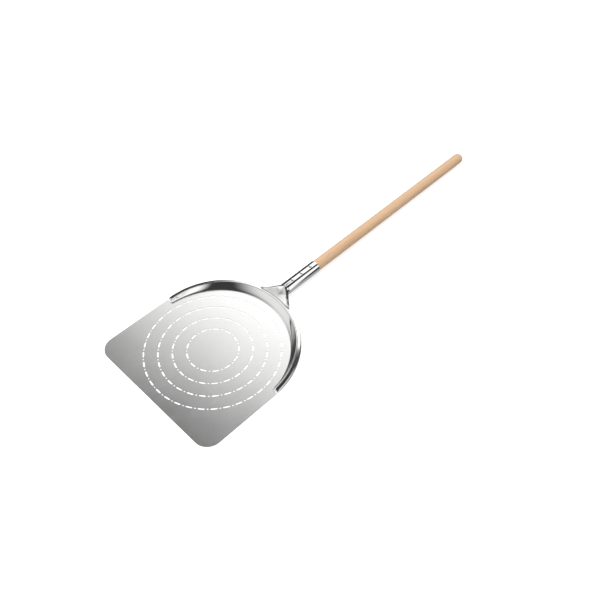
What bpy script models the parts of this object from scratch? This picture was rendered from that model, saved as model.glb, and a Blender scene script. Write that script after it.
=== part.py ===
"""Pizza peel: a pressed, perforated steel head on a beech handle.

Metres, +Z up. The origin is the centre of the rings of slots, on the blade's underside,
and +X runs along the handle. The blade's underside is the plane that the peel rests on.
"""

from math import acos, atan2, cos, hypot, pi, radians, sin, sqrt, tan

import bpy

MM = 0.001
GAP = 0.3 * MM

# Blade: a flat sheet with straight sides, a straight front edge and a round back
SHEET = 1.2 * MM
HALF_WIDTH = 180.0 * MM
FRONT_EDGE = -172.7 * MM
FRONT_RADIUS = 34.0 * MM
CORNER_STEPS = 8
SHOULDER_X = 19.4 * MM

# Slots: rings of long and short slots in turn, each ring starting with a long one in front
FIRST_RING_RADIUS = 56.4 * MM
RING_SPACING = 31.05 * MM
LONG_SLOTS_PER_RING = (13, 21, 28, 36)
LONG_SLOT = 15.0 * MM
SHORT_SLOT = 3.6 * MM
SLOT_WIDTH = 3.4 * MM
SLOT_POINT = 1.2 * MM
SHORT_SLOT_FLAT = 1.2 * MM

# Wall at the back: it rises from the foot circle to the rim circle, which lies further back
FOOT_CENTRE_X = 3.0 * MM
FOOT_RADIUS = 166.8 * MM
RIM_CENTRE_X = 17.0 * MM
WALL_TOP_RADIUS = 168.0 * MM
WALL_FOOT_PULL = 0.25
WALL_ROWS = 5
BEAD_RADIUS = 1.7 * MM
BEAD_ROWS = 4
WALL_END_ANGLE = radians(89.0)
RIM_STEPS = 44

# Rim height, measured at the underside of the bead
RIM_HEIGHT_ENDS = 8.2 * MM
RIM_HEIGHT_BACK = 16.2 * MM
RIM_BACK_X = 188.0 * MM
RIM_RISE_POWER = 1.6

# Yoke: flange, rounded outer edge and skirt round the rim, and the neck behind it
YOKE_SHEET = 1.5 * MM
YOKE_INNER_RADIUS = WALL_TOP_RADIUS + 2 * (BEAD_RADIUS + GAP)
YOKE_OUTER_RADIUS = 180.0 * MM
YOKE_EDGE_RADIUS = 3.5 * MM
YOKE_SLOPE = radians(23.0)
SLOPE_START_ANGLE = radians(14.0)
SLOPE_FULL_ANGLE = radians(30.0)
YOKE_FOOT = 1.0 * MM
YOKE_END_ANGLE = radians(88.6)
END_DOME_ANGLE = radians(2.2)
END_DOME_LOWEST = 0.35
YOKE_ROWS = 8
ARM_STEPS = 24
ARM_STEP_POWER = 1.25
EDGE_STEPS = 3

# Neck: its sides leave the yoke's circle on a flaring arc and end level with the socket
NECK_FLARE = 80.0 * MM
NECK_FLARE_END = (219.5 * MM, 14.0 * MM)
NECK_STEPS = 12
NECK_RIM_STEPS = 5
NECK_EDGE_RADIUS = 8.0 * MM
RAMP_EASE = 0.15
RAMP_FULL_ANGLE = radians(9.0)
RAMP_END_ANGLE = radians(17.0)
NECK_ROUND_X = 209.0 * MM

# Socket and handle, on one level axis
AXIS_Z = 18.4 * MM
SOCKET_RADIUS = 14.5 * MM
SOCKET_WALL = 0.8 * MM
SOCKET_FRONT_X = 222.0 * MM
SOCKET_REAR_X = 320.0 * MM
NECK_END_RADIUS = 14.3 * MM
NECK_END_X = 221.1 * MM
SPIGOT_RADIUS = SOCKET_RADIUS - SOCKET_WALL - GAP
SPIGOT_FRONT_X = 221.7 * MM
SPIGOT_REAR_X = 231.4 * MM
ARCH_LOWEST_ANGLE = radians(-35.0)
HANDLE_RADIUS = SPIGOT_RADIUS
HANDLE_FRONT_X = SPIGOT_REAR_X + 2 * GAP
HANDLE_REAR_X = 881.0 * MM
HANDLE_END_ROUNDING = 11.0 * MM
HANDLE_END_STEPS = 6
ROUND_STEPS = 40

# Rivets: down through the socket and the handle
RIVET_POSITIONS = {"front": 244.0 * MM, "middle": 273.0 * MM, "rear": 302.0 * MM}
RIVET_SHANK_RADIUS = 2.0 * MM
RIVET_HEAD_RADIUS = 4.0 * MM
RIVET_TAIL_RADIUS = 3.2 * MM
RIVET_HEAD_HEIGHT = 1.5 * MM
RIVET_DOME = ((0.45, 0.88), (0.8, 0.55), (0.97, 0.12))
RIVET_STEPS = 16

SATIN_STEEL = ((0.62, 0.62, 0.61), 0.32, 1.0)
POLISHED_STEEL = ((0.70, 0.70, 0.70), 0.14, 1.0)
RIVET_STEEL = ((0.66, 0.66, 0.65), 0.2, 1.0)
BEECH = ((0.68, 0.45, 0.27), 0.55, 0.0)


def clear_scene():
    for scene_object in list(bpy.data.objects):
        bpy.data.objects.remove(scene_object, do_unlink=True)


def make_material(name, finish):
    colour, roughness, metallic = finish
    material = bpy.data.materials.new(name)
    material.use_nodes = True
    shader = material.node_tree.nodes["Principled BSDF"]
    shader.inputs["Base Color"].default_value = (*colour, 1.0)
    shader.inputs["Roughness"].default_value = roughness
    shader.inputs["Metallic"].default_value = metallic
    return material


def make_object(name, vertices, faces, finish=None):
    mesh = bpy.data.meshes.new(name)
    mesh.from_pydata(vertices, [], faces)
    mesh.validate()
    mesh.shade_smooth()
    mesh.set_sharp_from_angle(angle=radians(35))
    made = bpy.data.objects.new(name, mesh)
    bpy.context.collection.objects.link(made)
    if finish:
        mesh.materials.append(make_material(name, finish))
    return made


def add_thickness(sheet_object, thickness):
    solidify = sheet_object.modifiers.new("thickness", "SOLIDIFY")
    solidify.thickness = thickness
    solidify.offset = -1.0
    solidify.use_even_offset = True


def cut_with(target, cutter):
    cutter.hide_render = True
    cutter.display_type = "WIRE"
    boolean = target.modifiers.new(cutter.name, "BOOLEAN")
    boolean.operation = "DIFFERENCE"
    boolean.solver = "EXACT"
    boolean.object = cutter


def grid_faces(columns, rows):
    """Quads of a grid whose vertices are stored column by column."""
    faces = []
    for column in range(columns - 1):
        for row in range(rows - 1):
            corner = column * rows + row
            faces.append((corner, corner + rows, corner + rows + 1, corner + 1))
    return faces


def smooth_step(value):
    value = min(max(value, 0.0), 1.0)
    return value * value * (3 - 2 * value)


def blend(start, end, share):
    return start + (end - start) * share


def rim_height(x):
    """Height of the rim above the resting plane: low at its two ends, highest at the back."""
    share = min(max((x - SHOULDER_X) / (RIM_BACK_X - SHOULDER_X), 0.0), 1.0)
    rise = 1 - (1 - share) ** RIM_RISE_POWER
    return blend(RIM_HEIGHT_ENDS, RIM_HEIGHT_BACK, rise)


def end_dome(angle, end_angle):
    """Share of the full height at an angle: the rim rounds down over its last few millimetres."""
    inside = end_angle - abs(angle)
    if inside >= END_DOME_ANGLE:
        return 1.0
    run = 1 - max(inside, 0.0) / END_DOME_ANGLE
    return blend(1.0, END_DOME_LOWEST, 1 - sqrt(1 - run * run))


def rim_point(angle, radius):
    return RIM_CENTRE_X + radius * cos(angle), radius * sin(angle)


def foot_radius(angle):
    """Distance from the rim's centre to the foot circle along a ray."""
    offset = RIM_CENTRE_X - FOOT_CENTRE_X
    across = offset * sin(angle)
    return sqrt(FOOT_RADIUS**2 - across**2) - offset * cos(angle)


def wall_profile(angle):
    """Points up the wall and over its bead, as (radius, height) about the rim's centre."""
    foot = foot_radius(angle)
    height = rim_height(rim_point(angle, WALL_TOP_RADIUS)[0])
    dome = end_dome(angle, WALL_END_ANGLE)
    run = WALL_TOP_RADIUS - foot
    profile = []
    for row in range(WALL_ROWS + 1):
        share = row / WALL_ROWS
        pull = 2 * share * (1 - share) * WALL_FOOT_PULL
        profile.append((foot + run * (pull + share**2), blend(SHEET, height, share**2)))
    for row in range(1, BEAD_ROWS + 1):
        turn = pi * (1 - row / BEAD_ROWS)
        radius = WALL_TOP_RADIUS + BEAD_RADIUS * (1 + cos(turn))
        profile.append((radius, height + BEAD_RADIUS * sin(turn)))
    return [(radius, blend(SHEET, z, dome)) for radius, z in profile]


def blade_outline():
    """The flat blade's edge from the left shoulder round the front to the right shoulder."""
    corner_x = FRONT_EDGE + FRONT_RADIUS
    corner_y = HALF_WIDTH - FRONT_RADIUS
    points = [(SHOULDER_X, HALF_WIDTH)]
    for side, start in ((1, 90), (-1, 180)):
        for step in range(CORNER_STEPS + 1):
            turn = radians(start + 90 * step / CORNER_STEPS)
            x = corner_x + FRONT_RADIUS * cos(turn)
            points.append((x, side * corner_y + FRONT_RADIUS * sin(turn)))
    points.append((SHOULDER_X, -HALF_WIDTH))
    return points


def slot_outline(ring_radius, angle, length):
    """A slot along a ring: two arcs, closed by a blunt point at each end."""
    half_width = SLOT_WIDTH / 2
    straight = max(length / 2 - SLOT_POINT, SHORT_SLOT_FLAT / 2) / ring_radius
    tip = length / 2 / ring_radius
    steps = (-1, 0, 1) if length > 2 * SLOT_WIDTH else (-1, 1)
    outer = [(ring_radius + half_width, angle + step * straight) for step in steps]
    inner = [(ring_radius - half_width, angle - step * straight) for step in steps]
    polar = [*outer, (ring_radius, angle + tip), *inner, (ring_radius, angle - tip)]
    return [(radius * cos(turn), radius * sin(turn)) for radius, turn in polar]


def make_slot_cutter():
    vertices, faces = [], []
    for ring, count in enumerate(LONG_SLOTS_PER_RING):
        ring_radius = FIRST_RING_RADIUS + ring * RING_SPACING
        pitch = 2 * pi / count
        for index in range(count):
            for length, shift in ((LONG_SLOT, 0.0), (SHORT_SLOT, 0.5)):
                outline = slot_outline(ring_radius, pi + pitch * (index + shift), length)
                add_prism(vertices, faces, outline, -2 * SHEET, 3 * SHEET)
    return make_object("slot_cutter", vertices, faces)


def add_prism(vertices, faces, outline, bottom, top):
    first = len(vertices)
    count = len(outline)
    vertices.extend((x, y, bottom) for x, y in outline)
    vertices.extend((x, y, top) for x, y in outline)
    faces.append(tuple(first + index for index in reversed(range(count))))
    faces.append(tuple(first + count + index for index in range(count)))
    for index in range(count):
        following = (index + 1) % count
        low, high = first + index, first + count + index
        faces.append((low, first + following, first + count + following, high))


def make_blade_pan():
    """The flat blade and the wall behind it, pressed from one sheet."""
    vertices = []
    columns = RIM_STEPS + 1
    for column in range(columns):
        angle = blend(-WALL_END_ANGLE, WALL_END_ANGLE, column / RIM_STEPS)
        profile = wall_profile(angle)
        vertices.extend((*rim_point(angle, radius), z) for radius, z in profile)
    rows = len(vertices) // columns
    faces = grid_faces(columns, rows)
    foot = [column * rows for column in range(columns)]
    outline_start = len(vertices)
    vertices.extend((x, y, SHEET) for x, y in blade_outline())
    faces.append(tuple(foot + list(range(outline_start, len(vertices)))))
    faces[:-1] = [tuple(reversed(face)) for face in faces[:-1]]
    pan = make_object("blade_pan", vertices, faces, SATIN_STEEL)
    add_thickness(pan, SHEET)
    cut_with(pan, make_slot_cutter())
    return pan


def soft_ramp(value):
    """Rises from 0 to 1 in a straight line, eased at both ends."""
    value = min(max(value, 0.0), 1.0)
    if value < RAMP_EASE:
        rise = value**2 / (2 * RAMP_EASE)
    elif value > 1 - RAMP_EASE:
        rise = 1 - RAMP_EASE - (1 - value) ** 2 / (2 * RAMP_EASE)
    else:
        rise = value - RAMP_EASE / 2
    return rise / (1 - RAMP_EASE)


def top_height(x, y):
    """Height of the yoke's upper face: level with the rim, and a ramp up to the socket."""
    radius = hypot(x - RIM_CENTRE_X, y)
    bearing = abs(atan2(y, x - RIM_CENTRE_X))
    run = NECK_END_X - RIM_CENTRE_X - YOKE_INNER_RADIUS
    ramp = soft_ramp((radius - YOKE_INNER_RADIUS) / run)
    fade = smooth_step((bearing - RAMP_FULL_ANGLE) / (RAMP_END_ANGLE - RAMP_FULL_ANGLE))
    return blend(rim_height(x), AXIS_Z + NECK_END_RADIUS, ramp * (1 - fade))


def flange_slope(bearing):
    """Outward slope of the yoke's flange: none at the neck, steady along the arms."""
    share = (abs(bearing) - SLOPE_START_ANGLE) / (SLOPE_FULL_ANGLE - SLOPE_START_ANGLE)
    return YOKE_SLOPE * smooth_step(share)


def yoke_column(inner, edge, edge_radius, slope):
    """Points across the sloping flange, round its outer edge and down the skirt."""
    across = (edge[0] - inner[0], edge[1] - inner[1])
    width = hypot(*across)
    flat = width - edge_radius * (1 - sin(slope))
    profile = [(0.0, 0.0), (flat / 2, -flat / 2 * tan(slope))]
    for step in range(EDGE_STEPS + 1):
        turn = blend(slope, pi / 2, step / EDGE_STEPS)
        out = flat + edge_radius * (sin(turn) - sin(slope))
        profile.append((out, edge_radius * (cos(turn) - cos(slope)) - flat * tan(slope)))
    points = []
    for out, drop in profile:
        x = inner[0] + across[0] * out / width
        y = inner[1] + across[1] * out / width
        points.append((x, y, top_height(x, y) + drop))
    foot = (*edge, YOKE_FOOT)
    return points + [blend_points(points[-1], foot, 0.5), foot]


def arch_column(x, radius):
    """Points of half a round arch about the handle's axis, from its top down past its side."""
    points = []
    for index in range(YOKE_ROWS):
        turn = blend(pi / 2, ARCH_LOWEST_ANGLE, index / (YOKE_ROWS - 1))
        points.append((x, radius * cos(turn), AXIS_Z + radius * sin(turn)))
    return points


def arm_columns(neck_angle):
    """One arm of the yoke, from its domed end round to the neck."""
    columns = []
    for step in range(ARM_STEPS + 1):
        angle = blend(YOKE_END_ANGLE, neck_angle, (step / ARM_STEPS) ** ARM_STEP_POWER)
        inner = rim_point(angle, YOKE_INNER_RADIUS)
        outer = rim_point(angle, YOKE_OUTER_RADIUS)
        dome = end_dome(angle, YOKE_END_ANGLE)
        column = yoke_column(inner, outer, YOKE_EDGE_RADIUS, flange_slope(angle))
        columns.append([(x, y, blend(YOKE_FOOT, z, dome)) for x, y, z in column])
    return columns


def flare_bearing():
    """Bearing, from the rim's centre, at which the neck's flare leaves the yoke's circle."""
    reach = YOKE_OUTER_RADIUS + NECK_FLARE
    end_x = NECK_FLARE_END[0] - RIM_CENTRE_X
    distance = hypot(end_x, NECK_FLARE_END[1])
    share = (reach**2 + distance**2 - NECK_FLARE**2) / (2 * reach * distance)
    return atan2(NECK_FLARE_END[1], end_x) + acos(share)


def neck_width(x, neck_angle):
    """Half-width of the neck behind the yoke's circle: the flare's arc, up to its end."""
    if x >= NECK_FLARE_END[0]:
        return NECK_FLARE_END[1]
    centre = rim_point(neck_angle, YOKE_OUTER_RADIUS + NECK_FLARE)
    return centre[1] - sqrt(NECK_FLARE**2 - (x - centre[0]) ** 2)


def neck_columns(neck_angle):
    """Half of the neck, from the rim's width to the round arch that meets the socket."""
    start_x = rim_point(neck_angle, YOKE_OUTER_RADIUS)[0]
    columns = []
    for step in range(1, NECK_STEPS + 1):
        x = blend(start_x, NECK_END_X, step / NECK_STEPS)
        inner_angle = neck_angle * max(1 - step / NECK_RIM_STEPS, 0.0)
        inner_x, inner_y = rim_point(inner_angle, YOKE_INNER_RADIUS)
        behind_rim = max(step - NECK_RIM_STEPS, 0) / (NECK_STEPS - NECK_RIM_STEPS)
        inner = (blend(inner_x, x, behind_rim), inner_y)
        edge = (x, neck_width(x, neck_angle))
        growth = smooth_step(2 * step / NECK_STEPS)
        edge_radius = blend(YOKE_EDGE_RADIUS, NECK_EDGE_RADIUS, growth)
        flat = yoke_column(inner, edge, edge_radius, flange_slope(inner_angle))
        arch = arch_column(x, NECK_END_RADIUS)
        roundness = smooth_step((x - NECK_ROUND_X) / (NECK_END_X - NECK_ROUND_X))
        columns.append([blend_points(*pair, roundness) for pair in zip(flat, arch)])
    return columns


def blend_points(start, end, share):
    return tuple(blend(near, far, share) for near, far in zip(start, end))


def make_rim_yoke():
    """The pressed frame: two arms round the rim, the neck and the spigot in the socket."""
    neck_angle = flare_bearing()
    columns = arm_columns(neck_angle) + neck_columns(neck_angle)
    columns.append(arch_column(SPIGOT_FRONT_X, SPIGOT_RADIUS))
    columns.append(arch_column(SPIGOT_REAR_X, SPIGOT_RADIUS))
    vertices = [point for column in columns for point in column]
    faces = grid_faces(len(columns), YOKE_ROWS)
    yoke = make_object("rim_yoke", vertices, faces, POLISHED_STEEL)
    mirror = yoke.modifiers.new("other_half", "MIRROR")
    mirror.use_axis = (False, True, False)
    mirror.merge_threshold = 0.0001
    add_thickness(yoke, YOKE_SHEET)
    return yoke


def lathe(name, stations, finish, hollow=False):
    """A solid turned about the handle's axis from (x, radius) stations.

    A radius of 0 ends it on the axis; a hollow one joins its last station to its first.
    """
    vertices, rings = [], []
    for x, radius in stations:
        first = len(vertices)
        vertices.extend(around_axis(x, radius))
        rings.append(list(range(first, len(vertices))))
    return make_object(name, vertices, bridge_rings(rings, hollow), finish)


def around_axis(x, radius):
    """A ring of points about the handle's axis, or one point on it when the radius is 0."""
    if radius == 0:
        return [(x, 0.0, AXIS_Z)]
    turns = [2 * pi * step / ROUND_STEPS for step in range(ROUND_STEPS)]
    return [(x, radius * cos(turn), AXIS_Z + radius * sin(turn)) for turn in turns]


def bridge_rings(rings, closed=False):
    faces = []
    pairs = list(zip(rings, rings[1:]))
    if closed:
        pairs.append((rings[-1], rings[0]))
    for near, far in pairs:
        count = max(len(near), len(far))
        for step in range(count):
            following = (step + 1) % count
            if len(near) == 1:
                faces.append((near[0], far[following], far[step]))
            elif len(far) == 1:
                faces.append((near[step], near[following], far[0]))
            else:
                faces.append((near[step], near[following], far[following], far[step]))
    return faces


def make_socket():
    """The round tube between the neck and the handle."""
    inner_radius = SOCKET_RADIUS - SOCKET_WALL
    stations = (
        (SOCKET_FRONT_X, SOCKET_RADIUS),
        (SOCKET_REAR_X, SOCKET_RADIUS),
        (SOCKET_REAR_X, inner_radius),
        (SOCKET_FRONT_X, inner_radius),
    )
    socket = lathe("handle_socket", stations, POLISHED_STEEL, hollow=True)
    cut_with(socket, bpy.data.objects["rivet_hole_cutter"])
    return socket


def make_handle():
    """The dowel: square-cut in the socket, rounded at its free end up to a small flat."""
    stations = [(HANDLE_FRONT_X, 0.0), (HANDLE_FRONT_X, HANDLE_RADIUS)]
    crown_radius = HANDLE_RADIUS - HANDLE_END_ROUNDING
    for step in range(HANDLE_END_STEPS):
        turn = pi / 2 * step / (HANDLE_END_STEPS - 0.5)
        x = HANDLE_REAR_X - HANDLE_END_ROUNDING * (1 - sin(turn))
        stations.append((x, crown_radius + HANDLE_END_ROUNDING * cos(turn)))
    stations.append((HANDLE_REAR_X, 0.0))
    handle = lathe("wooden_handle", stations, BEECH)
    cut_with(handle, bpy.data.objects["rivet_hole_cutter"])
    return handle


def make_rivet_hole_cutter():
    """Three upright pegs, wider than the rivets' shanks by the gap all round."""
    vertices, faces = [], []
    radius = RIVET_SHANK_RADIUS + GAP
    for rivet_x in RIVET_POSITIONS.values():
        outline = [(rivet_x + x, y) for x, y in circle_points(radius)]
        add_prism(vertices, faces, outline, 0.0, AXIS_Z + 2 * SOCKET_RADIUS)
    return make_object("rivet_hole_cutter", vertices, faces)


def rivet_head_rings(radius, height):
    """A low dome down to its underside, which follows the socket's round surface."""
    seat = SOCKET_RADIUS + GAP
    rings = [[(0.0, 0.0, seat + height)]]
    for share, rise in RIVET_DOME:
        outline = circle_points(radius * share)
        rings.append([(x, y, seat + height * rise) for x, y in outline])
    for ring_radius in (radius, RIVET_SHANK_RADIUS):
        outline = circle_points(ring_radius)
        rings.append([(x, y, sqrt(seat**2 - y**2)) for x, y in outline])
    return rings


def circle_points(radius):
    turns = [2 * pi * step / RIVET_STEPS for step in range(RIVET_STEPS)]
    return [(radius * cos(turn), radius * sin(turn)) for turn in turns]


def make_rivet(name, x):
    """A through rivet: domed head above the socket, shank, and a smaller set tail below."""
    head = rivet_head_rings(RIVET_HEAD_RADIUS, RIVET_HEAD_HEIGHT)
    tail = rivet_head_rings(RIVET_TAIL_RADIUS, RIVET_HEAD_HEIGHT)
    below = [[(px, py, -pz) for px, py, pz in ring] for ring in reversed(tail)]
    vertices, rings = [], []
    for ring in head + below:
        rings.append(list(range(len(vertices), len(vertices) + len(ring))))
        vertices.extend(ring)
    faces = [tuple(reversed(face)) for face in bridge_rings(rings)]
    rivet = make_object(name, vertices, faces, RIVET_STEEL)
    rivet.location = (x, 0.0, AXIS_Z)
    return rivet


def main():
    clear_scene()
    make_rivet_hole_cutter()
    peel = bpy.data.objects.new("pizza_peel", None)
    bpy.context.collection.objects.link(peel)
    pieces = [make_blade_pan(), make_rim_yoke(), make_socket(), make_handle()]
    for place, x in RIVET_POSITIONS.items():
        pieces.append(make_rivet(f"socket_rivet_{place}", x))
    for piece in pieces:
        piece.parent = peel


main()
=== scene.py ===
"""The pizza peel's visible pieces, their materials, and a plain studio round them.

Metres, +Z up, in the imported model's frame: the origin is the centre of the rings of slots on
the blade's underside, and +X runs along the handle.
"""

from math import acos, atan2, cos, hypot, pi, radians, sin, sqrt, tan

import bpy
from mathutils import Matrix, Vector
from mathutils.geometry import delaunay_2d_cdt


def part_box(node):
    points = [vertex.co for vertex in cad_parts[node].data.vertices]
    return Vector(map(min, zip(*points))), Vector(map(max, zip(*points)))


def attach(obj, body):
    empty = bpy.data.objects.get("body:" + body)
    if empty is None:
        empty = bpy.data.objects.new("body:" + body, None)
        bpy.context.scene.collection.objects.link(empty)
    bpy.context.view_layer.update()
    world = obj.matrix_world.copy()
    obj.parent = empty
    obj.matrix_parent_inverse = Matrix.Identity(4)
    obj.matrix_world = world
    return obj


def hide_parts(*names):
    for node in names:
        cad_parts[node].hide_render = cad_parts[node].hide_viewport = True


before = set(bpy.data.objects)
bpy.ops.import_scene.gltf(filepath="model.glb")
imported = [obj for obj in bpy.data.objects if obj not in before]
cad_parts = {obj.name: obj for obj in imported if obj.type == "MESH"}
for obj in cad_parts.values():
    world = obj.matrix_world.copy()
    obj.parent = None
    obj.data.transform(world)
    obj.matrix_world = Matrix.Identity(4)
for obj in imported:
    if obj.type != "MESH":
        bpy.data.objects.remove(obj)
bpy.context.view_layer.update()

MM = 0.001
PAN_LOW, PAN_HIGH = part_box("blade_pan")
YOKE_LOW, YOKE_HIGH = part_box("rim_yoke")
SOCKET_LOW, SOCKET_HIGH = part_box("handle_socket")
HANDLE_LOW, HANDLE_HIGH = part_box("wooden_handle")

# Blade
SHEET = 1.2 * MM
HALF_WIDTH = PAN_HIGH.y
FRONT_EDGE = PAN_LOW.x
FRONT_RADIUS = 34.0 * MM
CORNER_STEPS = 32
SHOULDER_X = 19.4 * MM

# Slots: rings of long and short slots in turn, each ring starting with a long one in front
FIRST_RING_RADIUS = 56.4 * MM
RING_SPACING = 31.05 * MM
LONG_SLOTS_PER_RING = (13, 21, 28, 36)
LONG_SLOT = 15.0 * MM
SHORT_SLOT = 3.6 * MM
SLOT_WIDTH = 3.4 * MM
SLOT_END_STEPS = 8
SLOT_SIDE_STEPS = 4
SAME_POINT = 1e-7
SAME_POINT_DIGITS = 7

# Wall and bead: the wall rises from the foot circle to the rim circle, which lies further back
FOOT_CENTRE_X = 3.0 * MM
FOOT_RADIUS = 166.8 * MM
RIM_CENTRE_X = 17.0 * MM
WALL_TOP_RADIUS = 168.0 * MM
WALL_FOOT_PULL = 0.25
WALL_ROWS = 20
FLAT_BORDER = 0.6 * MM
BEAD_RADIUS = 1.7 * MM
BEAD_ROWS = 10
WALL_END_ANGLE = radians(89.0)
RIM_STEPS = 240
RIM_HEIGHT_ENDS = 8.2 * MM
RIM_HEIGHT_BACK = 16.2 * MM
RIM_BACK_X = 188.0 * MM
RIM_RISE_POWER = 1.6
GAP = 0.3 * MM

# Yoke: flange, rounded outer edge and skirt round the rim
YOKE_SHEET = 1.5 * MM
YOKE_INNER_RADIUS = WALL_TOP_RADIUS + 2 * (BEAD_RADIUS + GAP)
YOKE_OUTER_RADIUS = YOKE_HIGH.y
YOKE_EDGE_RADIUS = 3.5 * MM
YOKE_SLOPE = radians(23.0)
SLOPE_START_ANGLE = radians(14.0)
SLOPE_FULL_ANGLE = radians(30.0)
YOKE_FOOT = 1.0 * MM
YOKE_END_ANGLE = radians(88.6)
END_DOME_ANGLE = radians(2.2)
END_DOME_LOWEST = 0.35
FLAT_STEPS = 28
EDGE_STEPS = 8
SKIRT_STEPS = 4
YOKE_ROWS = FLAT_STEPS + EDGE_STEPS + SKIRT_STEPS + 1
ARM_STEPS = 140
ARM_STEP_POWER = 1.25

# Neck: its sides leave the yoke's circle on a flaring arc and end level with the socket
NECK_FLARE = 80.0 * MM
NECK_FLARE_END = (219.5 * MM, 14.0 * MM)
NECK_STEPS = 48
NECK_RIM_STEPS = 20
NECK_EDGE_RADIUS = 8.0 * MM
RAMP_EASE = 0.15
RAMP_FULL_ANGLE = radians(9.0)
RAMP_END_ANGLE = radians(17.0)
NECK_ROUND_X = 209.0 * MM
NECK_END_RADIUS = 14.3 * MM
NECK_END_X = 221.1 * MM
SPIGOT_RADIUS = 13.4 * MM
SPIGOT_FRONT_X = 221.7 * MM
SPIGOT_REAR_X = YOKE_HIGH.x
ARCH_TURNS = (radians(90.0), radians(55.0), radians(0.0), radians(-35.0))
MIRROR_MERGE = 0.01 * MM

# Socket and handle, on one level axis
AXIS_Z = (SOCKET_LOW.z + SOCKET_HIGH.z) / 2
SOCKET_RADIUS = (SOCKET_HIGH.z - SOCKET_LOW.z) / 2
SOCKET_WALL = 0.8 * MM
SOCKET_LIP = 0.3 * MM
HANDLE_RADIUS = (HANDLE_HIGH.z - HANDLE_LOW.z) / 2
HANDLE_END_ROUNDING = 11.0 * MM
ROUND_STEPS = 120
LIP_STEPS = 4
HANDLE_END_STEPS = 16

# Rivets
RIVET_HEAD_RADIUS = 4.0 * MM
RIVET_TAIL_RADIUS = 3.2 * MM
RIVET_SHANK_RADIUS = 2.0 * MM
RIVET_HEAD_HEIGHT = 1.5 * MM
RIVET_EDGE_HEIGHT = 0.35 * MM
RIVET_STEPS = 48
RIVET_DOME_STEPS = 8

# Edges sharper than these angles are not smoothed over
SHARP_ANGLE = radians(35.0)
YOKE_SHARP_ANGLE = radians(45.0)

# Steel: noise scales along X, Y and Z per metre, and the values its noise is spread over
GRAIN_SCALE = (40.0, 2600.0, 900.0)
GRAIN_SHARE = 0.7
PATCH_SCALE = (9.0, 9.0, 9.0)
SATIN_NOISE = (0.35, 0.65)
SATIN_COLOURS = ((0.74, 0.735, 0.73), (0.86, 0.855, 0.85))
SATIN_ROUGHNESS = (0.16, 0.23)
GRAIN_BUMP = (0.06, 0.1 * MM)
SWIRL_SCALE = (160.0, 160.0, 160.0)
SWIRL_NOISE = (0.3, 0.7)
SWIRL_COLOURS = ((0.80, 0.80, 0.80), (0.90, 0.90, 0.89))
RIM_ROUGHNESS = (0.10, 0.16)
TUBE_ROUGHNESS = (0.05, 0.09)
RIVET_ROUGHNESS = (0.14, 0.2)

# Heights between which the blade's satin finish turns into the polish of its wall and bead
POLISH_START = 1.5 * MM
POLISH_FULL = 5.0 * MM
POLISHED_SHARE = 0.4

# Beech: each layer's noise scale, the noise it is spread over and how strongly it covers
STREAK_SCALE = (6.0, 170.0, 170.0)
STREAK_NOISE = (0.3, 0.7)
STREAK_COLOURS = ((0.425, 0.276, 0.164), (0.51, 0.346, 0.222))
PORE_SCALE = (40.0, 1500.0, 1500.0)
PORE_NOISE = (0.35, 0.7)
PORE_STRENGTH = 0.35
PORE_COLOUR = (0.38, 0.245, 0.146)
PORE_BUMP = (0.1, 0.2 * MM)
FLECK_SCALE = (330.0, 1400.0, 1400.0)
FLECK_NOISE = (0.66, 0.72)
FLECK_STRENGTH = 0.55
FLECK_COLOUR = (0.32, 0.20, 0.115)
BEECH_ROUGHNESS = (0.46, 0.6)
BEECH_SPECULAR = 0.3

# Floor and backdrop: grey of the surface, and strength of its own white glow
FLOOR_HALF = 30.0
FLOOR_Z = -0.3 * MM
FLOOR_GREY = 0.38
FLOOR_GLOW = 0.78
BACKDROP_RADIUS = 28.0
BACKDROP_HEIGHT = 60.0
BACKDROP_STEPS = 48
BACKDROP_GLOW = 1.0

# Soft boxes of the studio: azimuth, elevation, inner and outer edge in degrees, brightness
KEY_BOXES = (
    (25.0, 8.0, 45.5, 60.2, 1.5),
    (5.0, 61.0, 12.0, 16.0, 1.25),
)
FILL_BOXES = (
    (-58.0, 28.0, 17.0, 21.0, 1.15),
    (-94.0, 3.0, 15.0, 37.0, 1.25),
    (150.0, -5.0, 24.0, 60.0, 0.88),
    (115.0, 43.0, 9.0, 19.0, 1.1),
    (120.0, 57.0, 14.0, 26.0, 0.68),
    (-90.0, -68.0, 38.0, 62.0, 0.42),
)
# Black flags that shade the key boxes: azimuth, elevation, inner and outer edge in degrees
BLACK_FLAGS = (
    (82.0, 8.0, 24.0, 42.0),
    (-90.0, 0.0, 84.0, 87.5),
    (0.0, -90.0, 87.0, 91.0),
)
STUDIO_DARK = 0.05

LAMP_POSITION = Vector((0.3, 0.2, 3.2))
LAMP_TARGET = Vector((0.2, 0.0, 0.0))
LAMP_SIZE = 2.5
LAMP_POWER = 150.0

CAMERA_AZIMUTH = radians(224.75)
CAMERA_ELEVATION = radians(50.42)
CAMERA_DISTANCE = 1.678
CAMERA_TARGET = Vector((0.2318, -0.0364, SHEET))
CAMERA_LENS = 43.97
CAMERA_SENSOR = 36.0
CAMERA_CLIP_END = 100.0


def smooth_step(value):
    value = min(max(value, 0.0), 1.0)
    return value * value * (3 - 2 * value)


def blend(start, end, share):
    return start + (end - start) * share


def blend_points(start, end, share):
    return tuple(blend(near, far, share) for near, far in zip(start, end))


def make_piece(name, node, vertices, faces, material):
    """A piece of the object that takes a CAD node's place and rides on its only body."""
    mesh = bpy.data.meshes.new(name)
    mesh.from_pydata(vertices, [], faces)
    mesh.validate()
    mesh.shade_smooth()
    mesh.set_sharp_from_angle(angle=SHARP_ANGLE)
    mesh.materials.append(material)
    piece = bpy.data.objects.new(name, mesh)
    bpy.context.scene.collection.objects.link(piece)
    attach(piece, "root")
    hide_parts(node)
    return piece


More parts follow.
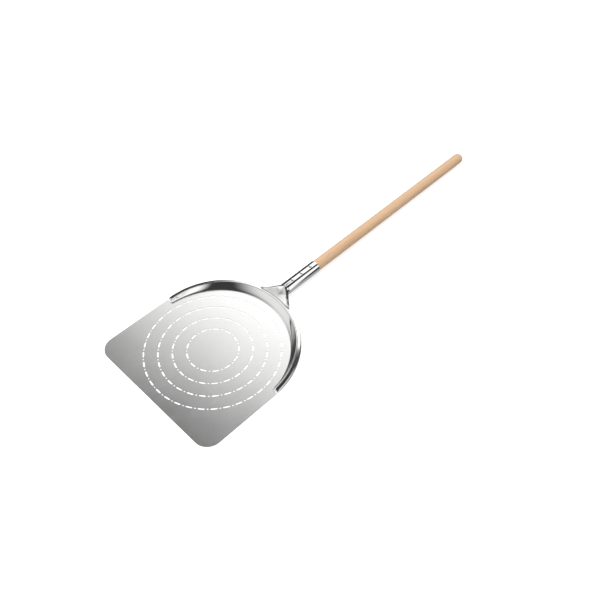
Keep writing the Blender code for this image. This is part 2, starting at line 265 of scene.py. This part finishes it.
def freeze_modifiers(piece, sharp_angle):
    """Replaces a piece's mesh with its evaluated one, so that edges can be marked sharp again."""
    graph = bpy.context.evaluated_depsgraph_get()
    solid = bpy.data.meshes.new_from_object(piece.evaluated_get(graph))
    piece.modifiers.clear()
    solid.name = piece.name
    piece.data = solid
    solid.shade_smooth()
    solid.set_sharp_from_angle(angle=sharp_angle)


def add_thickness(piece, thickness):
    solidify = piece.modifiers.new("thickness", "SOLIDIFY")
    solidify.thickness = thickness
    solidify.offset = -1.0
    solidify.use_even_offset = True


def grid_faces(columns, rows):
    """Quads of a grid whose vertices are stored column by column."""
    faces = []
    for column in range(columns - 1):
        for row in range(rows - 1):
            corner = column * rows + row
            faces.append((corner, corner + rows, corner + rows + 1, corner + 1))
    return faces


def rim_height(x):
    """Height of the rim above the resting plane: low at its two ends, highest at the back."""
    share = min(max((x - SHOULDER_X) / (RIM_BACK_X - SHOULDER_X), 0.0), 1.0)
    rise = 1 - (1 - share) ** RIM_RISE_POWER
    return blend(RIM_HEIGHT_ENDS, RIM_HEIGHT_BACK, rise)


def end_dome(angle, end_angle):
    """Share of the full height at an angle: the rim rounds down over its last few millimetres."""
    inside = end_angle - abs(angle)
    if inside >= END_DOME_ANGLE:
        return 1.0
    run = 1 - max(inside, 0.0) / END_DOME_ANGLE
    return blend(1.0, END_DOME_LOWEST, 1 - sqrt(1 - run * run))


def rim_point(angle, radius):
    return RIM_CENTRE_X + radius * cos(angle), radius * sin(angle)


def foot_radius(angle):
    """Distance from the rim's centre to the foot circle along a ray."""
    offset = RIM_CENTRE_X - FOOT_CENTRE_X
    across = offset * sin(angle)
    return sqrt(FOOT_RADIUS**2 - across**2) - offset * cos(angle)


def rim_angles(end_angle):
    """Angles along the rim, closer together at its two ends, where it rounds down."""
    angles = []
    for step in range(RIM_STEPS + 1):
        share = 2 * step / RIM_STEPS - 1
        angles.append(end_angle * sin(share * pi / 2))
    return angles


def wall_profile(angle):
    """Points from the flat blade up the wall and over its bead, as (radius, height)."""
    foot = foot_radius(angle)
    height = rim_height(rim_point(angle, WALL_TOP_RADIUS)[0])
    dome = end_dome(angle, WALL_END_ANGLE)
    run = WALL_TOP_RADIUS - foot
    profile = [(foot - FLAT_BORDER, SHEET)]
    for row in range(WALL_ROWS + 1):
        share = row / WALL_ROWS
        pull = 2 * share * (1 - share) * WALL_FOOT_PULL
        profile.append((foot + run * (pull + share**2), blend(SHEET, height, share**2)))
    for row in range(1, BEAD_ROWS + 1):
        turn = pi * (1 - row / BEAD_ROWS)
        radius = WALL_TOP_RADIUS + BEAD_RADIUS * (1 + cos(turn))
        profile.append((radius, height + BEAD_RADIUS * sin(turn)))
    return [(radius, blend(SHEET, z, dome)) for radius, z in profile]


def blade_outline():
    """The flat blade's edge from the left shoulder round the front to the right shoulder."""
    corner_x = FRONT_EDGE + FRONT_RADIUS
    corner_y = HALF_WIDTH - FRONT_RADIUS
    points = [(SHOULDER_X, HALF_WIDTH)]
    for side, start in ((1, 90), (-1, 180)):
        for step in range(CORNER_STEPS + 1):
            turn = radians(start + 90 * step / CORNER_STEPS)
            x = corner_x + FRONT_RADIUS * cos(turn)
            points.append((x, side * corner_y + FRONT_RADIUS * sin(turn)))
    points.append((SHOULDER_X, -HALF_WIDTH))
    return points


def slot_outline(ring_radius, angle, length):
    """A slot along a ring: two arcs joined by half-round ends."""
    half_width = SLOT_WIDTH / 2
    straight = max(length / 2 - half_width, 0.0)
    local = []
    for side in (1, -1):
        for step in range(SLOT_END_STEPS + 1):
            turn = pi / 2 - pi * step / SLOT_END_STEPS
            along = side * (straight + half_width * cos(turn))
            local.append((along, side * half_width * sin(turn)))
        for step in range(1, SLOT_SIDE_STEPS):
            along = side * straight * (1 - 2 * step / SLOT_SIDE_STEPS)
            local.append((along, -side * half_width))
    points = []
    for along, out in local:
        turn = angle + along / ring_radius
        points.append(((ring_radius + out) * cos(turn), (ring_radius + out) * sin(turn)))
    return points


def all_slots():
    slots = []
    for ring, count in enumerate(LONG_SLOTS_PER_RING):
        ring_radius = FIRST_RING_RADIUS + ring * RING_SPACING
        pitch = 2 * pi / count
        for index in range(count):
            for length, shift in ((LONG_SLOT, 0.0), (SHORT_SLOT, 0.5)):
                slots.append(slot_outline(ring_radius, pi + pitch * (index + shift), length))
    return slots


def flat_with_holes(outline, holes):
    """Points and triangles of a flat outline with holes cut out of it."""
    points, loops = [], []
    for loop in [outline, *holes]:
        loops.append(list(range(len(points), len(points) + len(loop))))
        points.extend(Vector(point) for point in loop)
    found = delaunay_2d_cdt(points, [], loops, 1, SAME_POINT)
    vertices, faces, owners = found[0], found[2], found[5]
    outline_only = [0]
    solid = [face for face, owner in zip(faces, owners) if owner == outline_only]
    return [(point.x, point.y) for point in vertices], solid


def place_key(x, y):
    """A point's place, rounded so that two copies of one point count as the same."""
    return round(x, SAME_POINT_DIGITS), round(y, SAME_POINT_DIGITS)


def facing_up(corners, vertices):
    """A triangle's corners in the order that makes it face up."""
    first, second, third = (Vector(vertices[index]) for index in corners)
    turned_down = (second - first).cross(third - first).z < 0
    return tuple(reversed(corners)) if turned_down else tuple(corners)


def make_pan(material):
    """The blade with its slots, the wall and the bead, from one sheet."""
    angles = rim_angles(WALL_END_ANGLE)
    profiles = [wall_profile(angle) for angle in angles]
    rows = len(profiles[0])
    vertices = []
    for angle, profile in zip(angles, profiles):
        vertices.extend((*rim_point(angle, radius), z) for radius, z in profile)
    faces = [tuple(reversed(face)) for face in grid_faces(len(angles), rows)]
    foot = [vertices[column * rows][:2] for column in range(len(angles))]
    flat, triangles = flat_with_holes(foot + blade_outline(), all_slots())
    foot_vertices = {place_key(*point): column * rows for column, point in enumerate(foot)}
    numbers = []
    for x, y in flat:
        shared = foot_vertices.get(place_key(x, y))
        if shared is None:
            numbers.append(len(vertices))
            vertices.append((x, y, SHEET))
        else:
            numbers.append(shared)
    for triangle in triangles:
        corners = [numbers[index] for index in triangle]
        faces.append(facing_up(corners, vertices))
    pan = make_piece("steel_blade", "blade_pan", vertices, faces, material)
    add_thickness(pan, SHEET)
    freeze_modifiers(pan, SHARP_ANGLE)


def soft_ramp(value):
    """Rises from 0 to 1 in a straight line, eased at both ends."""
    value = min(max(value, 0.0), 1.0)
    if value < RAMP_EASE:
        rise = value**2 / (2 * RAMP_EASE)
    elif value > 1 - RAMP_EASE:
        rise = 1 - RAMP_EASE - (1 - value) ** 2 / (2 * RAMP_EASE)
    else:
        rise = value - RAMP_EASE / 2
    return rise / (1 - RAMP_EASE)


def top_height(x, y):
    """Height of the yoke's upper face: level with the rim, and a ramp up to the socket."""
    radius = hypot(x - RIM_CENTRE_X, y)
    bearing = abs(atan2(y, x - RIM_CENTRE_X))
    run = NECK_END_X - RIM_CENTRE_X - YOKE_INNER_RADIUS
    ramp = soft_ramp((radius - YOKE_INNER_RADIUS) / run)
    fade = smooth_step((bearing - RAMP_FULL_ANGLE) / (RAMP_END_ANGLE - RAMP_FULL_ANGLE))
    return blend(rim_height(x), AXIS_Z + NECK_END_RADIUS, ramp * (1 - fade))


def flange_slope(bearing):
    """Outward slope of the yoke's flange: none at the neck, steady along the arms."""
    share = (abs(bearing) - SLOPE_START_ANGLE) / (SLOPE_FULL_ANGLE - SLOPE_START_ANGLE)
    return YOKE_SLOPE * smooth_step(share)


def yoke_column(inner, edge, edge_radius, slope):
    """Points across the sloping flange, round its outer edge and down the skirt."""
    across = (edge[0] - inner[0], edge[1] - inner[1])
    width = hypot(*across)
    flat = width - edge_radius * (1 - sin(slope))
    profile = []
    for step in range(FLAT_STEPS):
        out = flat * step / FLAT_STEPS
        profile.append((out, -out * tan(slope)))
    for step in range(EDGE_STEPS + 1):
        turn = blend(slope, pi / 2, step / EDGE_STEPS)
        out = flat + edge_radius * (sin(turn) - sin(slope))
        profile.append((out, edge_radius * (cos(turn) - cos(slope)) - flat * tan(slope)))
    points = []
    for out, drop in profile:
        x = inner[0] + across[0] * out / width
        y = inner[1] + across[1] * out / width
        points.append((x, y, top_height(x, y) + drop))
    foot = (*edge, YOKE_FOOT)
    skirt_top = points[-1]
    for step in range(1, SKIRT_STEPS + 1):
        points.append(blend_points(skirt_top, foot, step / SKIRT_STEPS))
    return points


def arch_column(x, radius):
    """Points of half a round arch about the handle's axis, from its top down past its side."""
    turns = [ARCH_TURNS[0]]
    stretches = zip((FLAT_STEPS, EDGE_STEPS, SKIRT_STEPS), ARCH_TURNS, ARCH_TURNS[1:])
    for steps, start, end in stretches:
        turns.extend(blend(start, end, step / steps) for step in range(1, steps + 1))
    return [(x, radius * cos(turn), AXIS_Z + radius * sin(turn)) for turn in turns]


def arm_columns(neck_angle):
    """One arm of the yoke, from its domed end round to the neck."""
    columns = []
    for step in range(ARM_STEPS + 1):
        angle = blend(YOKE_END_ANGLE, neck_angle, (step / ARM_STEPS) ** ARM_STEP_POWER)
        inner = rim_point(angle, YOKE_INNER_RADIUS)
        outer = rim_point(angle, YOKE_OUTER_RADIUS)
        dome = end_dome(angle, YOKE_END_ANGLE)
        column = yoke_column(inner, outer, YOKE_EDGE_RADIUS, flange_slope(angle))
        columns.append([(x, y, blend(YOKE_FOOT, z, dome)) for x, y, z in column])
    return columns


def flare_bearing():
    """Bearing, from the rim's centre, at which the neck's flare leaves the yoke's circle."""
    reach = YOKE_OUTER_RADIUS + NECK_FLARE
    end_x = NECK_FLARE_END[0] - RIM_CENTRE_X
    distance = hypot(end_x, NECK_FLARE_END[1])
    share = (reach**2 + distance**2 - NECK_FLARE**2) / (2 * reach * distance)
    return atan2(NECK_FLARE_END[1], end_x) + acos(share)


def neck_width(x, neck_angle):
    """Half-width of the neck behind the yoke's circle: the flare's arc, up to its end."""
    if x >= NECK_FLARE_END[0]:
        return NECK_FLARE_END[1]
    centre = rim_point(neck_angle, YOKE_OUTER_RADIUS + NECK_FLARE)
    return centre[1] - sqrt(NECK_FLARE**2 - (x - centre[0]) ** 2)


def neck_columns(neck_angle):
    """Half of the neck, from the rim's width to the round arch that meets the socket."""
    start_x = rim_point(neck_angle, YOKE_OUTER_RADIUS)[0]
    columns = []
    for step in range(1, NECK_STEPS + 1):
        x = blend(start_x, NECK_END_X, step / NECK_STEPS)
        inner_angle = neck_angle * max(1 - step / NECK_RIM_STEPS, 0.0)
        inner_x, inner_y = rim_point(inner_angle, YOKE_INNER_RADIUS)
        behind_rim = max(step - NECK_RIM_STEPS, 0) / (NECK_STEPS - NECK_RIM_STEPS)
        inner = (blend(inner_x, x, behind_rim), inner_y)
        edge = (x, neck_width(x, neck_angle))
        growth = smooth_step(2 * step / NECK_STEPS)
        edge_radius = blend(YOKE_EDGE_RADIUS, NECK_EDGE_RADIUS, growth)
        flat = yoke_column(inner, edge, edge_radius, flange_slope(inner_angle))
        arch = arch_column(x, NECK_END_RADIUS)
        roundness = smooth_step((x - NECK_ROUND_X) / (NECK_END_X - NECK_ROUND_X))
        columns.append([blend_points(*pair, roundness) for pair in zip(flat, arch)])
    return columns


def make_yoke(material):
    """The pressed frame: two arms round the rim, the neck and the spigot in the socket."""
    neck_angle = flare_bearing()
    columns = arm_columns(neck_angle) + neck_columns(neck_angle)
    columns.append(arch_column(SPIGOT_FRONT_X, SPIGOT_RADIUS))
    columns.append(arch_column(SPIGOT_REAR_X, SPIGOT_RADIUS))
    vertices = [point for column in columns for point in column]
    faces = grid_faces(len(columns), YOKE_ROWS)
    yoke = make_piece("rim_frame", "rim_yoke", vertices, faces, material)
    mirror = yoke.modifiers.new("other_half", "MIRROR")
    mirror.use_axis = (False, True, False)
    mirror.merge_threshold = MIRROR_MERGE
    add_thickness(yoke, YOKE_SHEET)
    freeze_modifiers(yoke, YOKE_SHARP_ANGLE)


def around_axis(x, radius):
    """A ring of points about the handle's axis, or one point on it when the radius is 0."""
    if radius == 0:
        return [(x, 0.0, AXIS_Z)]
    turns = [2 * pi * step / ROUND_STEPS for step in range(ROUND_STEPS)]
    return [(x, radius * cos(turn), AXIS_Z + radius * sin(turn)) for turn in turns]


def bridge_rings(rings, closed=False):
    """Faces between neighbouring rings of vertex numbers, where a ring may be one point."""
    faces = []
    pairs = list(zip(rings, rings[1:]))
    if closed:
        pairs.append((rings[-1], rings[0]))
    for near, far in pairs:
        count = max(len(near), len(far))
        for step in range(count):
            following = (step + 1) % count
            if len(near) == 1:
                faces.append((near[0], far[following], far[step]))
            elif len(far) == 1:
                faces.append((near[step], near[following], far[0]))
            else:
                faces.append((near[step], near[following], far[following], far[step]))
    return faces


def turned_mesh(stations, hollow=False):
    """Vertices and faces of a shape turned about the handle's axis from (x, radius) stations."""
    vertices, rings = [], []
    for x, radius in stations:
        first = len(vertices)
        vertices.extend(around_axis(x, radius))
        rings.append(list(range(first, len(vertices))))
    return vertices, bridge_rings(rings, hollow)


def make_socket(material):
    """The round tube, with softened edges at both ends."""
    front, rear = SOCKET_LOW.x, SOCKET_HIGH.x
    lip_centre = SOCKET_RADIUS - SOCKET_LIP
    stations = []
    for step in range(LIP_STEPS + 1):
        turn = pi / 2 * step / LIP_STEPS
        x = front + SOCKET_LIP * (1 - cos(turn))
        stations.append((x, lip_centre + SOCKET_LIP * sin(turn)))
    stations += [(front + rear - x, radius) for x, radius in reversed(stations)]
    inner_radius = SOCKET_RADIUS - SOCKET_WALL
    stations += [(rear, inner_radius), (front, inner_radius)]
    vertices, faces = turned_mesh(stations, hollow=True)
    make_piece("steel_socket", "handle_socket", vertices, faces, material)


def make_handle(material):
    """The dowel, rounded at its free end."""
    front, rear = HANDLE_LOW.x, HANDLE_HIGH.x
    crown_radius = HANDLE_RADIUS - HANDLE_END_ROUNDING
    stations = [(front, 0.0), (front, HANDLE_RADIUS)]
    for step in range(HANDLE_END_STEPS + 1):
        turn = pi / 2 * step / HANDLE_END_STEPS
        x = rear - HANDLE_END_ROUNDING * (1 - sin(turn))
        stations.append((x, crown_radius + HANDLE_END_ROUNDING * cos(turn)))
    stations.append((rear, 0.0))
    vertices, faces = turned_mesh(stations)
    make_piece("beech_handle", "wooden_handle", vertices, faces, material)


def rivet_rings(radius):
    """Rings of half a rivet from the crown of its head to its shank, seated on the tube."""
    seat = SOCKET_RADIUS + GAP
    rings = [[(0.0, 0.0, seat + RIVET_HEAD_HEIGHT)]]
    dome_height = RIVET_HEAD_HEIGHT - RIVET_EDGE_HEIGHT
    for step in range(1, RIVET_DOME_STEPS + 1):
        turn = pi / 2 * step / RIVET_DOME_STEPS
        z = seat + RIVET_EDGE_HEIGHT + dome_height * cos(turn)
        outline = circle_points(radius * sin(turn))
        rings.append([(x, y, z) for x, y in outline])
    for ring_radius in (radius, RIVET_SHANK_RADIUS):
        outline = circle_points(ring_radius)
        rings.append([(x, y, sqrt(seat**2 - y**2)) for x, y in outline])
    return rings


def circle_points(radius):
    turns = [2 * pi * step / RIVET_STEPS for step in range(RIVET_STEPS)]
    return [(radius * cos(turn), radius * sin(turn)) for turn in turns]


def make_rivet(place, material):
    """A rivet through the tube: domed head above, shank, and a smaller tail below."""
    node = f"socket_rivet_{place}"
    low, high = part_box(node)
    centre_x = (low.x + high.x) / 2
    head = rivet_rings(RIVET_HEAD_RADIUS)
    tail = rivet_rings(RIVET_TAIL_RADIUS)
    below = [[(x, y, -z) for x, y, z in ring] for ring in reversed(tail)]
    vertices, rings = [], []
    for ring in head + below:
        rings.append(list(range(len(vertices), len(vertices) + len(ring))))
        vertices.extend((x + centre_x, y, z + AXIS_Z) for x, y, z in ring)
    faces = [tuple(reversed(face)) for face in bridge_rings(rings)]
    make_piece(f"rivet_{place}", node, vertices, faces, material)


class Shading:
    """A material's node tree with a few short ways to add nodes to it."""

    def __init__(self, name):
        self.material = bpy.data.materials.new(name)
        self.material.use_nodes = True
        self.tree = self.material.node_tree
        self.shader = self.tree.nodes["Principled BSDF"]
        self.place = self.add("ShaderNodeTexCoord").outputs["Object"]

    def add(self, kind, **settings):
        node = self.tree.nodes.new(kind)
        for setting, value in settings.items():
            setattr(node, setting, value)
        return node

    def link(self, output, socket):
        self.tree.links.new(output, socket)

    def noise(self, scale, detail, roughness=0.55):
        """Noise over the piece's own coordinates, with a scale along each axis."""
        mapping = self.add("ShaderNodeMapping")
        mapping.inputs["Scale"].default_value = scale
        self.link(self.place, mapping.inputs["Vector"])
        noise = self.add("ShaderNodeTexNoise")
        noise.inputs["Scale"].default_value = 1.0
        noise.inputs["Detail"].default_value = detail
        noise.inputs["Roughness"].default_value = roughness
        self.link(mapping.outputs["Vector"], noise.inputs["Vector"])
        return noise.outputs["Fac"]

    def remap(self, value, spread, result, smooth=False):
        """Stretches a value from one (low, high) pair to another."""
        kind = "SMOOTHSTEP" if smooth else "LINEAR"
        node = self.add("ShaderNodeMapRange", interpolation_type=kind)
        for name, limit in zip(("From Min", "From Max", "To Min", "To Max"), (*spread, *result)):
            node.inputs[name].default_value = limit
        self.link(value, node.inputs["Value"])
        return node.outputs["Result"]

    def math(self, operation, first, second):
        """Combines two values, each a number or an output."""
        node = self.add("ShaderNodeMath", operation=operation)
        for socket, value in zip(node.inputs, (first, second)):
            if isinstance(value, float):
                socket.default_value = value
            else:
                self.link(value, socket)
        return node.outputs["Value"]

    def mix(self, share, first, second):
        """Mixes two colours, each a colour triple or an output."""
        node = self.add("ShaderNodeMix", data_type="RGBA")
        share_socket, first_socket, second_socket = (node.inputs[index] for index in (0, 6, 7))
        self.link(share, share_socket)
        for socket, colour in ((first_socket, first), (second_socket, second)):
            if isinstance(colour, tuple):
                socket.default_value = (*colour, 1.0)
            else:
                self.link(colour, socket)
        return node.outputs[2]

    def height(self):
        """Height above the resting plane."""
        parts = self.add("ShaderNodeSeparateXYZ")
        self.link(self.place, parts.inputs["Vector"])
        return parts.outputs["Z"]

    def bump(self, height, strength, distance):
        bump = self.add("ShaderNodeBump")
        bump.inputs["Strength"].default_value = strength
        bump.inputs["Distance"].default_value = distance
        self.link(height, bump.inputs["Height"])
        self.link(bump.outputs["Normal"], self.shader.inputs["Normal"])


def satin_steel():
    """Brushed sheet: fine grain along the handle's axis, and a smoother wall and bead."""
    shading = Shading("satin_steel")
    shading.shader.inputs["Metallic"].default_value = 1.0
    grain = shading.noise(GRAIN_SCALE, detail=3.0)
    patches = shading.noise(PATCH_SCALE, detail=2.0)
    grain_part = shading.math("MULTIPLY", grain, GRAIN_SHARE)
    patch_part = shading.math("MULTIPLY", patches, 1 - GRAIN_SHARE)
    tone = shading.math("ADD", grain_part, patch_part)
    colour = shading.mix(shading.remap(tone, SATIN_NOISE, (0.0, 1.0)), *SATIN_COLOURS)
    shading.link(colour, shading.shader.inputs["Base Color"])
    polish_heights = (POLISH_START, POLISH_FULL)
    polish = shading.remap(shading.height(), polish_heights, (1.0, POLISHED_SHARE), smooth=True)
    satin = shading.remap(tone, SATIN_NOISE, SATIN_ROUGHNESS)
    roughness = shading.math("MULTIPLY", satin, polish)
    shading.link(roughness, shading.shader.inputs["Roughness"])
    shading.bump(grain, *GRAIN_BUMP)
    return shading.material


def polished_steel(name, roughness):
    """Polished steel with faint swirls left by buffing, and a (low, high) roughness."""
    shading = Shading(name)
    shading.shader.inputs["Metallic"].default_value = 1.0
    swirl = shading.noise(SWIRL_SCALE, detail=5.0)
    shading.link(shading.mix(swirl, *SWIRL_COLOURS), shading.shader.inputs["Base Color"])
    varied = shading.remap(swirl, SWIRL_NOISE, roughness)
    shading.link(varied, shading.shader.inputs["Roughness"])
    return shading.material


def beech():
    """Oiled beech: long soft streaks, fine pores along the grain and short dark flecks."""
    shading = Shading("beech_wood")
    shading.shader.inputs["Specular IOR Level"].default_value = BEECH_SPECULAR
    streaks = shading.noise(STREAK_SCALE, detail=6.0, roughness=0.6)
    pores = shading.noise(PORE_SCALE, detail=2.0)
    flecks = shading.noise(FLECK_SCALE, detail=0.0)
    streak_cover = shading.remap(streaks, STREAK_NOISE, (0.0, 1.0))
    pore_cover = shading.remap(pores, PORE_NOISE, (0.0, PORE_STRENGTH))
    fleck_cover = shading.remap(flecks, FLECK_NOISE, (0.0, FLECK_STRENGTH))
    colour = shading.mix(streak_cover, *STREAK_COLOURS)
    colour = shading.mix(pore_cover, colour, PORE_COLOUR)
    colour = shading.mix(fleck_cover, colour, FLECK_COLOUR)
    shading.link(colour, shading.shader.inputs["Base Color"])
    roughness = shading.remap(streaks, STREAK_NOISE, BEECH_ROUGHNESS)
    shading.link(roughness, shading.shader.inputs["Roughness"])
    shading.bump(pores, *PORE_BUMP)
    return shading.material


def white_surface(name, vertices, faces, grey, glow):
    """A dull surface of the studio, with a white glow of its own and no reflection in steel."""
    mesh = bpy.data.meshes.new(name)
    mesh.from_pydata(vertices, [], faces)
    material = bpy.data.materials.new(name)
    material.use_nodes = True
    shader = material.node_tree.nodes["Principled BSDF"]
    shader.inputs["Base Color"].default_value = (grey, grey, grey, 1.0)
    shader.inputs["Roughness"].default_value = 1.0
    shader.inputs["Specular IOR Level"].default_value = 0.0
    shader.inputs["Emission Color"].default_value = (1.0, 1.0, 1.0, 1.0)
    shader.inputs["Emission Strength"].default_value = glow
    mesh.materials.append(material)
    surface = bpy.data.objects.new(name, mesh)
    bpy.context.scene.collection.objects.link(surface)
    surface.visible_glossy = False
    return surface


def make_floor():
    """A plain white floor just under the object."""
    sides = ((-1, -1), (1, -1), (1, 1), (-1, 1))
    corners = [(FLOOR_HALF * x, FLOOR_HALF * y, FLOOR_Z) for x, y in sides]
    floor = white_surface("studio_floor", corners, [(0, 1, 2, 3)], FLOOR_GREY, FLOOR_GLOW)


def make_backdrop():
    """A white wall far off behind the floor, seen directly and never lighting the object."""
    vertices = []
    for step in range(BACKDROP_STEPS):
        turn = 2 * pi * step / BACKDROP_STEPS
        x, y = BACKDROP_RADIUS * cos(turn), BACKDROP_RADIUS * sin(turn)
        vertices += [(x, y, FLOOR_Z), (x, y, BACKDROP_HEIGHT)]
    faces = []
    for step in range(BACKDROP_STEPS):
        near, far = 2 * step, 2 * ((step + 1) % BACKDROP_STEPS)
        faces.append((near, near + 1, far + 1, far))
    backdrop = white_surface("studio_backdrop", vertices, faces, 0.0, BACKDROP_GLOW)
    backdrop.visible_diffuse = False
    backdrop.visible_shadow = False


def direction(azimuth, elevation):
    """Unit vector towards a point of the studio: azimuth from +X towards +Y, in degrees."""
    azimuth, elevation = radians(azimuth), radians(elevation)
    level = cos(elevation)
    return level * cos(azimuth), level * sin(azimuth), sin(elevation)


def add_lobe(tree, place, lobe, centre_value, outside_value):
    """A round patch of the dome with a soft edge: one value in its middle, another outside."""
    azimuth, elevation, inner, outer = lobe
    facing = tree.nodes.new("ShaderNodeVectorMath")
    facing.operation = "DOT_PRODUCT"
    tree.links.new(place, facing.inputs[0])
    facing.inputs[1].default_value = direction(azimuth, elevation)
    edge = tree.nodes.new("ShaderNodeMapRange")
    edge.interpolation_type = "SMOOTHSTEP"
    edge.inputs["From Min"].default_value = cos(radians(outer))
    edge.inputs["From Max"].default_value = cos(radians(inner))
    edge.inputs["To Min"].default_value = outside_value
    edge.inputs["To Max"].default_value = centre_value
    tree.links.new(facing.outputs["Value"], edge.inputs["Value"])
    return edge.outputs["Result"]


def combine(tree, operation, first, second):
    """Combines an output with a second one or with a number."""
    node = tree.nodes.new("ShaderNodeMath")
    node.operation = operation
    tree.links.new(first, node.inputs[0])
    if isinstance(second, float):
        node.inputs[1].default_value = second
    else:
        tree.links.new(second, node.inputs[1])
    return node.outputs["Value"]


def make_studio():
    """The world: dark surroundings with large soft boxes, as a dome without a picture."""
    world = bpy.data.worlds.new("studio")
    bpy.context.scene.world = world
    world.use_nodes = True
    tree = world.node_tree
    place = tree.nodes.new("ShaderNodeTexCoord").outputs["Generated"]
    total = None
    for *lobe, brightness in KEY_BOXES:
        box = add_lobe(tree, place, lobe, brightness, 0.0)
        total = combine(tree, "MAXIMUM", total, box) if total else box
    for lobe in BLACK_FLAGS:
        total = combine(tree, "MULTIPLY", total, add_lobe(tree, place, lobe, 0.0, 1.0))
    for *lobe, brightness in FILL_BOXES:
        total = combine(tree, "MAXIMUM", total, add_lobe(tree, place, lobe, brightness, 0.0))
    total = combine(tree, "ADD", total, STUDIO_DARK)
    background = tree.nodes["Background"]
    background.inputs["Color"].default_value = (1.0, 1.0, 1.0, 1.0)
    tree.links.new(total, background.inputs["Strength"])


def make_lamp():
    """One large soft lamp overhead, which steel does not mirror."""
    light = bpy.data.lights.new("overhead", "AREA")
    light.shape = "DISK"
    light.size = LAMP_SIZE
    light.energy = LAMP_POWER
    lamp = bpy.data.objects.new("overhead", light)
    lamp.location = LAMP_POSITION
    lamp.rotation_euler = (LAMP_TARGET - LAMP_POSITION).to_track_quat("-Z", "Y").to_euler()
    bpy.context.scene.collection.objects.link(lamp)
    lamp.visible_glossy = False


def make_camera():
    """The camera looks down on the blade from its front right."""
    level = cos(CAMERA_ELEVATION)
    sideways, across = cos(CAMERA_AZIMUTH), sin(CAMERA_AZIMUTH)
    back = Vector((level * sideways, level * across, sin(CAMERA_ELEVATION)))
    right = Vector((-across, sideways, 0.0))
    up = back.cross(right)
    turn = Matrix((right, up, back)).transposed().to_4x4()
    camera = bpy.data.objects.new("camera", bpy.data.cameras.new("camera"))
    bpy.context.scene.collection.objects.link(camera)
    camera.matrix_world = Matrix.Translation(CAMERA_TARGET + back * CAMERA_DISTANCE) @ turn
    camera.data.sensor_width = CAMERA_SENSOR
    camera.data.lens = CAMERA_LENS
    camera.data.clip_end = CAMERA_CLIP_END
    bpy.context.scene.camera = camera


def main():
    make_pan(satin_steel())
    make_yoke(polished_steel("polished_rim_steel", RIM_ROUGHNESS))
    make_socket(polished_steel("polished_tube_steel", TUBE_ROUGHNESS))
    rivet_steel = polished_steel("rivet_steel", RIVET_ROUGHNESS)
    for place in ("front", "middle", "rear"):
        make_rivet(place, rivet_steel)
    make_handle(beech())
    make_floor()
    make_backdrop()
    make_studio()
    make_lamp()
    make_camera()
    bpy.context.scene.view_settings.view_transform = "Standard"


main()
